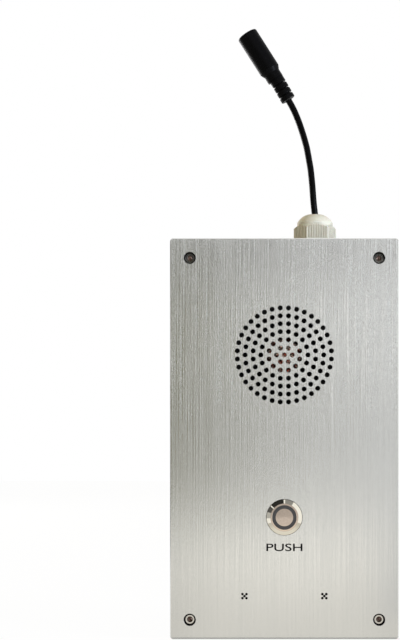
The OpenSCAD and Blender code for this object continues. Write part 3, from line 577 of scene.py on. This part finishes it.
def dress(*names, finish=None):
    """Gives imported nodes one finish, or else that of the slot that the record names for each."""
    for name in names:
        mesh = NODES[name].data
        slot = mesh.materials[0].name
        mesh.materials.clear()
        mesh.materials.append(finish or finish_of(slot))


# Meshes and curves

def link(name, data):
    piece = bpy.data.objects.new(name, data)
    bpy.context.collection.objects.link(piece)
    return piece


def sheet(name, size):
    """A flat rectangle about the origin."""
    mesh = bmesh.new()
    bmesh.ops.create_grid(mesh, x_segments=1, y_segments=1, size=0.5)
    bmesh.ops.scale(mesh, vec=(*size, 1), verts=mesh.verts)
    data = bpy.data.meshes.new(name)
    mesh.to_mesh(data)
    mesh.free()
    return link(name, data)


def swept(name, points, diameter, smooth=True):
    """A round curve through the points, with flat ends."""
    curve = bpy.data.curves.new(name, "CURVE")
    curve.dimensions = "3D"
    curve.bevel_depth = diameter / 2
    curve.bevel_resolution = 5
    curve.resolution_u = 6
    curve.use_fill_caps = True
    spline = curve.splines.new("BEZIER" if smooth else "POLY")
    knots = spline.bezier_points if smooth else spline.points
    knots.add(len(points) - 1)
    for knot, point in zip(knots, points):
        if smooth:
            knot.co = point
            knot.handle_left_type = knot.handle_right_type = "AUTO"
        else:
            knot.co = (*point, 1)
    return link(name, curve)


def as_mesh(piece):
    """Turns a curve or a text into a mesh of the same name."""
    name = piece.name
    bpy.context.view_layer.update()
    mesh = bpy.data.meshes.new_from_object(piece.evaluated_get(bpy.context.evaluated_depsgraph_get()))
    bpy.data.objects.remove(piece)
    return link(name, mesh)


def lathed(name, outline, centre, turns=128):
    """Turns a closed outline of radius and distance out of the wall about the axis through the centre."""
    mesh = bmesh.new()
    rings = []
    for step in range(turns):
        angle = 2 * math.pi * step / turns
        rings.append([
            mesh.verts.new((centre.x + r * math.cos(angle), -out, centre.z + r * math.sin(angle)))
            for r, out in outline
        ])
    for step, ring in enumerate(rings):
        following = rings[(step + 1) % turns]
        for i in range(len(outline)):
            j = (i + 1) % len(outline)
            mesh.faces.new((ring[i], ring[j], following[j], following[i])).smooth = True
    bmesh.ops.recalc_face_normals(mesh, faces=mesh.faces)
    data = bpy.data.meshes.new(name)
    mesh.to_mesh(data)
    mesh.free()
    return link(name, data)


def film(line, thickness):
    """The closed outline of a film that follows a line of radius and distance out of the wall."""
    return line + [(r, out + thickness) for r, out in reversed(line)]


def flex(piece, centre, outer, inner):
    """Lets a round piece follow the cone at its inner edge and the housing at its outer edge."""
    start = centre + Vector((outer, 0, 0))
    end = centre + Vector((inner, 0, 0))
    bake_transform(piece, "housing", "cone", start=start, end=end)
    for vertex, weight in zip(piece.data.vertices, piece.data.attributes["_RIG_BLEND"].data):
        radius = math.hypot(vertex.co.x - centre.x, vertex.co.z - centre.z)
        share = min(1, max(0, (outer - radius) / (outer - inner)))
        weight.value = share * share * (3 - 2 * share)


def smooth_over(*names):
    """Joins and rounds the facets of the wires' plain tubes."""
    touching = 0.001 * MM
    for name in names:
        NODES[name].modifiers.new("join", "WELD").merge_threshold = touching
        NODES[name].modifiers.new("round", "SUBSURF").render_levels = 2


# Operators

class INTERCOM_OT_front_plate(bpy.types.Operator):
    """Finish the front plate and print the word under its button"""

    bl_idname = "intercom.front_plate"
    bl_label = "Front plate"

    def execute(self, context):
        sizes = context.scene.intercom_sizes
        # The screw seals' near black rubber rings fill the counterbores round the heads and stand in for the
        # shade in the gap there: painted shade
        dress("front_plate", "screw_seals")
        # The screws' finish paints shade on the heads' sides and in their sockets
        dress("plate_screws", finish=shaded_screw_steel(context.scene.intercom_colours))
        text = bpy.data.curves.new("button_label", "FONT")
        text.body = "PUSH"
        # The strokes are a little heavier than the font's own, and the word is fitted to its sizes below
        text.extrude = 0.5
        text.offset = 0.01
        label = as_mesh(link("button_label", text))
        low = Vector(map(min, zip(*(v.co for v in label.data.vertices))))
        high = Vector(map(max, zip(*(v.co for v in label.data.vertices))))
        middle = (low + high) / 2
        size = high - low
        for vertex in label.data.vertices:
            across, up, out = vertex.co - middle
            vertex.co = (
                across / size.x * sizes.label_width,
                -out / size.z * sizes.ink_thickness,
                up / size.y * sizes.label_height,
            )
        label.location = (0, PLATE_FRONT - sizes.ink_thickness / 2, BUTTON_CENTRE.z - sizes.label_drop)
        label.data.materials.append(printed_ink(context.scene.intercom_colours))
        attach(label, "housing")
        return {"FINISHED"}


class INTERCOM_OT_back_box(bpy.types.Operator):
    """Finish the cast box and its gasket"""

    bl_idname = "intercom.back_box"
    bl_label = "Back box"

    def execute(self, context):
        dress("back_box", "front_gasket")
        return {"FINISHED"}


class INTERCOM_OT_loudspeaker(bpy.types.Operator):
    """Finish the loudspeaker and make its surround and spider"""

    bl_idname = "intercom.loudspeaker"
    bl_label = "Loudspeaker"

    def execute(self, context):
        sizes = context.scene.intercom_sizes
        dress(
            "speaker_seal", "speaker_frame", "speaker_cone", "dust_cap", "coil_former", "voice_coil",
            "top_plate", "ring_magnet", "magnet_yoke", "terminal_strip", "speaker_tags", "speaker_studs",
            "speaker_clamps", "clamp_nuts",
        )
        self.make_surround(sizes)
        self.make_spider(sizes)
        return {"FINISHED"}

    def make_surround(self, sizes):
        flange = -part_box("cone_surround")[1].y
        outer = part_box("cone_surround")[1].x
        cone_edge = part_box("speaker_cone")[1].x
        lip = 1.6 * MM
        edge_gap = 0.2 * MM
        outer_gap = 0.3 * MM
        roll = sizes.surround_roll
        roll_height = roll - 0.2 * MM
        middle = cone_edge + edge_gap + roll
        line = [(outer, flange), (middle + roll + outer_gap, flange)]
        steps = 24
        for step in range(steps + 1):
            angle = math.pi * step / steps
            line.append((middle + roll * math.cos(angle), flange + roll_height * math.sin(angle)))
        line += [(cone_edge, flange), (cone_edge - lip, flange)]
        surround = lathed("speaker_surround", film(line, sizes.surround_film), SPEAKER_CENTRE)
        surround.data.materials.append(finish_of("cone_film"))
        flex(surround, SPEAKER_CENTRE, middle + roll, middle - roll)
        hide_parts("cone_surround")

    def make_spider(self, sizes):
        level = -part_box("cone_spider")[1].y
        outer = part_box("cone_spider")[1].x
        former_gap = 0.05 * MM
        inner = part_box("coil_former")[1].x + former_gap
        rim = 2 * MM
        waves = 3
        steps = 60
        line = [(outer, level)]
        for step in range(steps + 1):
            share = step / steps
            rise = (1 - math.cos(2 * math.pi * waves * share)) / 2
            line.append((outer - rim + (inner - outer + rim) * share, level + rise * sizes.spider_wave))
        spider = lathed("speaker_spider", film(line, sizes.spider_cloth), SPEAKER_CENTRE)
        spider.data.materials.append(finish_of("spider_cloth"))
        flex(spider, SPEAKER_CENTRE, outer - rim, inner)
        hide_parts("cone_spider")


class INTERCOM_OT_push_button(bpy.types.Operator):
    """Finish the push button and wind its return spring"""

    bl_idname = "intercom.push_button"
    bl_label = "Push button"

    def execute(self, context):
        sizes = context.scene.intercom_sizes
        dress(
            "button_seal", "button_nut", "light_ring", "button_cap", "retaining_clip",
            "contact_bridge", "switch_base", "switch_blades", "ring_lamp",
        )
        # The rim's finish paints a reflection's warmer tone on its flat face
        dress("button_bezel", finish=bezel_nickel(context.scene.intercom_colours))
        front, back = (corner.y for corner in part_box("return_spring"))
        turns = 3
        steps = 24 * turns
        first = back - sizes.spring_wire / 2
        last = front + sizes.spring_wire / 2
        points = []
        for step in range(steps + 1):
            angle = 2 * math.pi * turns * step / steps
            points.append((
                BUTTON_CENTRE.x + sizes.spring_radius * math.cos(angle),
                first + (last - first) * step / steps,
                BUTTON_CENTRE.z + sizes.spring_radius * math.sin(angle),
            ))
        spring = as_mesh(swept("button_spring", points, sizes.spring_wire, smooth=False))
        spring.data.materials.append(finish_of("spring_steel"))
        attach(spring, "housing")
        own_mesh(spring)
        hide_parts("return_spring")
        return {"FINISHED"}


class INTERCOM_OT_microphones(bpy.types.Operator):
    """Finish the microphones and their boots and cover them with felt"""

    bl_idname = "intercom.microphones"
    bl_label = "Microphones"

    def execute(self, context):
        dress("microphone_boots", "microphone_capsules")
        low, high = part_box("microphone_capsules")
        capsule_radius = (high.z - low.z) / 2
        rim = 2.2 * MM
        radius = capsule_radius - rim
        pinhole = 0.01 * MM
        front = -low.y
        edge = front + 0.3 * MM
        crown = front + 0.35 * MM
        outline = [(pinhole, front), (radius, front), (radius, edge), (pinhole, crown)]
        for side, x in (("left", low.x), ("right", high.x)):
            middle = Vector((math.copysign(abs(x) - capsule_radius, x), 0, (low.z + high.z) / 2))
            felt = lathed(side + "_felt", outline, middle, turns=48)
            felt.data.materials.append(wool_felt(context.scene.intercom_colours))
            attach(felt, "housing")
        return {"FINISHED"}


class INTERCOM_OT_electronics(bpy.types.Operator):
    """Finish the board and what is on it"""

    bl_idname = "intercom.electronics"
    bl_label = "Electronics"

    def execute(self, context):
        dress(
            "main_board", "board_screws", "audio_processor", "amplifier_chip", "capacitors",
            "power_inductor", "alarm_relay", "terminal_block", "lead_headers", "lead_plugs",
        )
        return {"FINISHED"}


class INTERCOM_OT_inner_leads(bpy.types.Operator):
    """Finish the wires inside the box"""

    bl_idname = "intercom.inner_leads"
    bl_label = "Inner leads"

    def execute(self, context):
        leads = ("speaker_leads", "button_leads", "microphone_leads", "power_lead", "power_cores")
        dress(*leads)
        smooth_over(*leads)
        return {"FINISHED"}


class INTERCOM_OT_cable_gland(bpy.types.Operator):
    """Finish the cable gland"""

    bl_idname = "intercom.cable_gland"
    bl_label = "Cable gland"

    def execute(self, context):
        dress("gland_washer", "gland_body", "gland_locknut", "gland_insert", "gland_dome_nut")
        return {"FINISHED"}


class INTERCOM_OT_power_lead(bpy.types.Operator):
    """Lay the power lead and finish its connector"""

    bl_idname = "intercom.power_lead"
    bl_label = "Power lead"

    def execute(self, context):
        sizes = context.scene.intercom_sizes
        connector = ("connector_body", "connector_sleeve", "connector_pin")
        dress(*connector)
        points = [GLAND_MOUTH + Vector(step) * MM for step in CORD_STEPS]
        cord = swept("lead", points, sizes.cord_diameter)
        cord.data.materials.append(finish_of("cord_jacket"))
        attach(cord, "housing")
        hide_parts("power_cord")
        return {"FINISHED"}


class INTERCOM_OT_stage(bpy.types.Operator):
    """Set up the camera, the floor, the world, the lamps and the cards that mirrors see"""

    bl_idname = "intercom.stage"
    bl_label = "Stage"

    def execute(self, context):
        sizes = context.scene.intercom_sizes
        context.scene.view_settings.view_transform = "Standard"
        self.set_camera(context, sizes)
        self.lay_floor(context, sizes)
        self.light_world(context)
        self.hang_lamps()
        self.hang_cards()
        return {"FINISHED"}

    def set_camera(self, context, sizes):
        data = bpy.data.cameras.new("photo_camera")
        camera = link("photo_camera", data)
        camera.location = (0, PLATE_FRONT - sizes.camera_distance, 0)
        camera.rotation_euler = (math.pi / 2, 0, 0)
        # One pixel's size at the plate's front, and the pixel at which the plate's middle lies
        pixel = 0.49826 * MM
        plate_column = 284.4
        plate_row = 438.8
        data.sensor_width = 36
        data.lens = data.sensor_width * sizes.camera_distance / (IMAGE_HEIGHT * pixel)
        data.shift_x = (IMAGE_WIDTH / 2 - plate_column) / IMAGE_HEIGHT
        data.shift_y = (plate_row - IMAGE_HEIGHT / 2) / IMAGE_HEIGHT
        data.clip_start = 0.01
        context.scene.camera = camera

    def seen_directly(self, tree):
        """1 for rays that show the background as itself: straight, mirrored or through something clear."""
        path = add_node(tree, "ShaderNodeLightPath")
        either = path.outputs["Is Camera Ray"]
        for kind in ("Is Glossy Ray", "Is Transmission Ray"):
            both = add_node(tree, "ShaderNodeMath", operation="MAXIMUM")
            tree.links.new(either, both.inputs[0])
            tree.links.new(path.outputs[kind], both.inputs[1])
            either = both.outputs["Value"]
        return either

    def lay_floor(self, context, sizes):
        floor = sheet("floor", (sizes.floor_size, sizes.floor_size))
        gap = 0.5 * MM
        floor.location.z = CAD_BOX[0].z - gap
        # Painted board, near white: the camera sees most of it as lit, and the shadow stays
        material, tree, shader = new_material("painted_board", Roughness=0.8, Specular_IOR_Level=0.2)
        speck = grain(tree, 40)
        tint(tree, shader, speck, context.scene.intercom_colours.floor, "#f4f3f0")
        glow = add_node(tree, "ShaderNodeEmission", {"Strength": 1})
        glow_share = 0.97
        links = {0: self.seen_directly(tree)}
        share = add_node(tree, "ShaderNodeMath", {1: glow_share}, links, operation="MULTIPLY")
        links = {0: share.outputs["Value"], 1: shader.outputs["BSDF"], 2: glow.outputs["Emission"]}
        mixed = add_node(tree, "ShaderNodeMixShader", links=links)
        tree.links.new(mixed.outputs["Shader"], tree.nodes["Material Output"].inputs["Surface"])
        floor.data.materials.append(material)

    def light_world(self, context):
        world = bpy.data.worlds.new("studio")
        world.use_nodes = True
        context.scene.world = world
        tree = world.node_tree
        # A soft warm fill lights the part, and the background itself is plain white
        soft = tree.nodes["Background"]
        soft.inputs["Color"].default_value = linear("#fff1cf")
        soft.inputs["Strength"].default_value = 0.6
        white = add_node(tree, "ShaderNodeBackground", {"Color": (1, 1, 1, 1), "Strength": 1})
        links = {0: self.seen_directly(tree), 1: soft.outputs["Background"], 2: white.outputs["Background"]}
        mixed = add_node(tree, "ShaderNodeMixShader", links=links)
        tree.links.new(mixed.outputs["Shader"], tree.nodes["World Output"].inputs["Surface"])

    def hang_lamps(self):
        # A cool lamp in front on the right, and a white one behind on the left
        for name, place, side, power, code in (
            ("key_lamp", (1.3, -0.95, 0.3), 0.45, 30, "#e0ebff"),
            ("back_lamp", (-1.2, 1.3, 0.25), 0.9, 22, "#ffffff"),
        ):
            lamp = bpy.data.lights.new(name, "AREA")
            lamp.shape = "SQUARE"
            lamp.size = side
            lamp.energy = power
            lamp.color = linear(code)[:3]
            self.aim(link(name, lamp), place)

    def hang_cards(self):
        """Cards that only mirrors see: what the plate, the screws and the button reflect of the room."""
        upright = (math.pi / 2, 0, 0)
        flat = (0, 0, 0)
        floor = CAD_BOX[0].z
        wall_y = PLATE_FRONT - 1.24
        wall_height = 1.6
        wall_z = floor + wall_height / 2
        # The wall opposite is dark on the left, lit on the right and a little brighter at its foot
        self.hang_card(
            "wall", (0, wall_y, wall_z), (3, wall_height), upright, 1,
            across=(-0.2, 0.1, 0.1, 0.9), up=(-0.8, -0.66, 1.15, 1),
        )
        # In front of it: a dim warm side, a bright place, a dark bar, a graded top and a half lit place
        self.hang_card(
            "wall_left", (-0.6, wall_y + 0.003, wall_z), (1, wall_height), upright, 0.13, tone="#fff998",
        )
        self.hang_card("wall_glow", (0.08, wall_y + 0.005, 0.137), (0.14, 0.155), upright, 1.5)
        self.hang_card("wall_bar", (0, wall_y + 0.01, 0.247), (0.5, 0.055), upright, 0.05)
        self.hang_card(
            "wall_top", (-0.3, wall_y + 0.005, 0.4), (0.7, 0.25), upright, 1, across=(-0.3, 0.3, 0.1, 1),
        )
        self.hang_card("wall_shade", (0.28, wall_y + 0.007, 0.03), (0.3, 0.33), upright, 0.5)
        # A strip close by dims what the plate mirrors along the lower part of its right edge
        self.hang_card("right_strip", (0.085, PLATE_FRONT - 0.1, -0.03), (0.05, 0.16), upright, 0.58)
        # The floor in front is lit in the middle and far off, and less near the plate and to the sides
        self.hang_card("floor_sides", (0, PLATE_FRONT - 0.81, floor), (2, 0.8), flat, 0.55)
        for name, side in (("floor_left", -1), ("floor_right", 1)):
            self.hang_card(
                name, (side * 0.07, PLATE_FRONT - 0.603, floor + 0.5 * MM), (0.14, 1.2), flat, 1.35,
                across=(side * -0.04, side * 0.03, 1, 0.75), up=(-0.2, 0.6, 1, 0.6), tone="#fffcf5",
            )
        self.hang_card("floor_far", (0, PLATE_FRONT - 1.13, floor + 1 * MM), (0.3, 0.2), flat, 1.08)
        # A shadow along the plate's foot, and a dim place on the left that its bevelled edge mirrors
        self.hang_card("foot_shadow", (0, PLATE_FRONT - 0.02, floor), (0.13, 0.04), flat, 0.3)
        sideways = (0, math.pi / 2, 0)
        self.hang_card("left_card", (-0.6, PLATE_FRONT, 0), (0.8, 0.2), sideways, 0.2, tone="#fffdf0")
        # Dark places round the button, by the clock, that its sloping rim mirrors, with gaps that glint
        off_axis = math.radians(71)
        distance = 0.6
        height = 0.36
        for name, start, end, level in (
            ("first", 8.5, 9.5, 0.5), ("second", 9.5, 10.2, 0.1), ("third", 10.35, 11.9, 0.03),
            ("fourth", 12.1, 13.1, 0.3),
        ):
            angle = math.pi * (start + end) / 12
            along = Vector((math.cos(angle), 0, -math.sin(angle)))
            outward = Vector((math.sin(angle), 0, math.cos(angle)))
            towards = math.sin(off_axis) * outward - math.cos(off_axis) * Vector((0, 1, 0))
            turn = Matrix((along, towards.cross(along), towards)).transposed().to_euler()
            width = 2 * distance * math.sin(off_axis) * math.tan(math.pi * (end - start) / 12)
            place = BUTTON_CENTRE + distance * towards
            self.hang_card(name + "_rim_card", place, (width, height), turn, level)

    def hang_card(self, name, place, size, turn, level, across=None, up=None, tone="#ffffff"):
        """Hangs a card that glows evenly, or graded across or up it: from, to, first share, last share."""
        card = sheet(name, size)
        card.location = place
        card.rotation_euler = turn
        material, tree, shader = new_material(name, Roughness=1, Specular_IOR_Level=0)
        shader.inputs["Base Color"].default_value = (0, 0, 0, 1)
        shader.inputs["Emission Color"].default_value = linear(tone)
        shader.inputs["Emission Strength"].default_value = level
        strength = None
        for axis, stretch in (("X", across), ("Y", up)):
            if stretch:
                along = coordinate(tree, axis)
                graded = spread(tree, along, stretch[:2], stretch[2:], interpolation_type="SMOOTHSTEP")
                share = add_node(tree, "ShaderNodeMath", {1: level}, {0: graded}, operation="MULTIPLY")
                if strength:
                    tree.links.new(strength, share.inputs[1])
                strength = share.outputs["Value"]
                tree.links.new(strength, shader.inputs["Emission Strength"])
        card.data.materials.append(material)
        card.visible_camera = False
        card.visible_diffuse = False
        card.visible_shadow = False
        card.visible_transmission = False

    def aim(self, thing, place):
        thing.location = place
        towards = Vector((0, PLATE_FRONT, 0)) - Vector(place)
        thing.rotation_euler = towards.to_track_quat("-Z", "Y").to_euler()


OPERATORS = (
    INTERCOM_OT_power_lead,
    INTERCOM_OT_cable_gland,
    INTERCOM_OT_front_plate,
    INTERCOM_OT_push_button,
    INTERCOM_OT_loudspeaker,
    INTERCOM_OT_microphones,
    INTERCOM_OT_back_box,
    INTERCOM_OT_electronics,
    INTERCOM_OT_inner_leads,
    INTERCOM_OT_stage,
)


class INTERCOM_PT_panel(bpy.types.Panel):
    """Lists the steps, the sizes and the colours"""

    bl_idname = "INTERCOM_PT_panel"
    bl_label = "Help point intercom"
    bl_space_type = "VIEW_3D"
    bl_region_type = "UI"
    bl_category = "Intercom"

    def draw(self, context):
        for operator in OPERATORS:
            self.layout.operator(operator.bl_idname)
        for group in (context.scene.intercom_sizes, context.scene.intercom_colours):
            box = self.layout.box()
            for name in type(group).__annotations__:
                box.prop(group, name)


CLASSES = (IntercomSizes, IntercomColours, *OPERATORS, INTERCOM_PT_panel)


def register():
    for cls in CLASSES:
        bpy.utils.register_class(cls)
    bpy.types.Scene.intercom_sizes = bpy.props.PointerProperty(type=IntercomSizes)
    bpy.types.Scene.intercom_colours = bpy.props.PointerProperty(type=IntercomColours)


def unregister():
    del bpy.types.Scene.intercom_colours
    del bpy.types.Scene.intercom_sizes
    for cls in reversed(CLASSES):
        bpy.utils.unregister_class(cls)


def main():
    register()
    for operator in OPERATORS:
        group, name = operator.bl_idname.split(".")
        getattr(getattr(bpy.ops, group), name)()


if __name__ == "__main__":
    main()
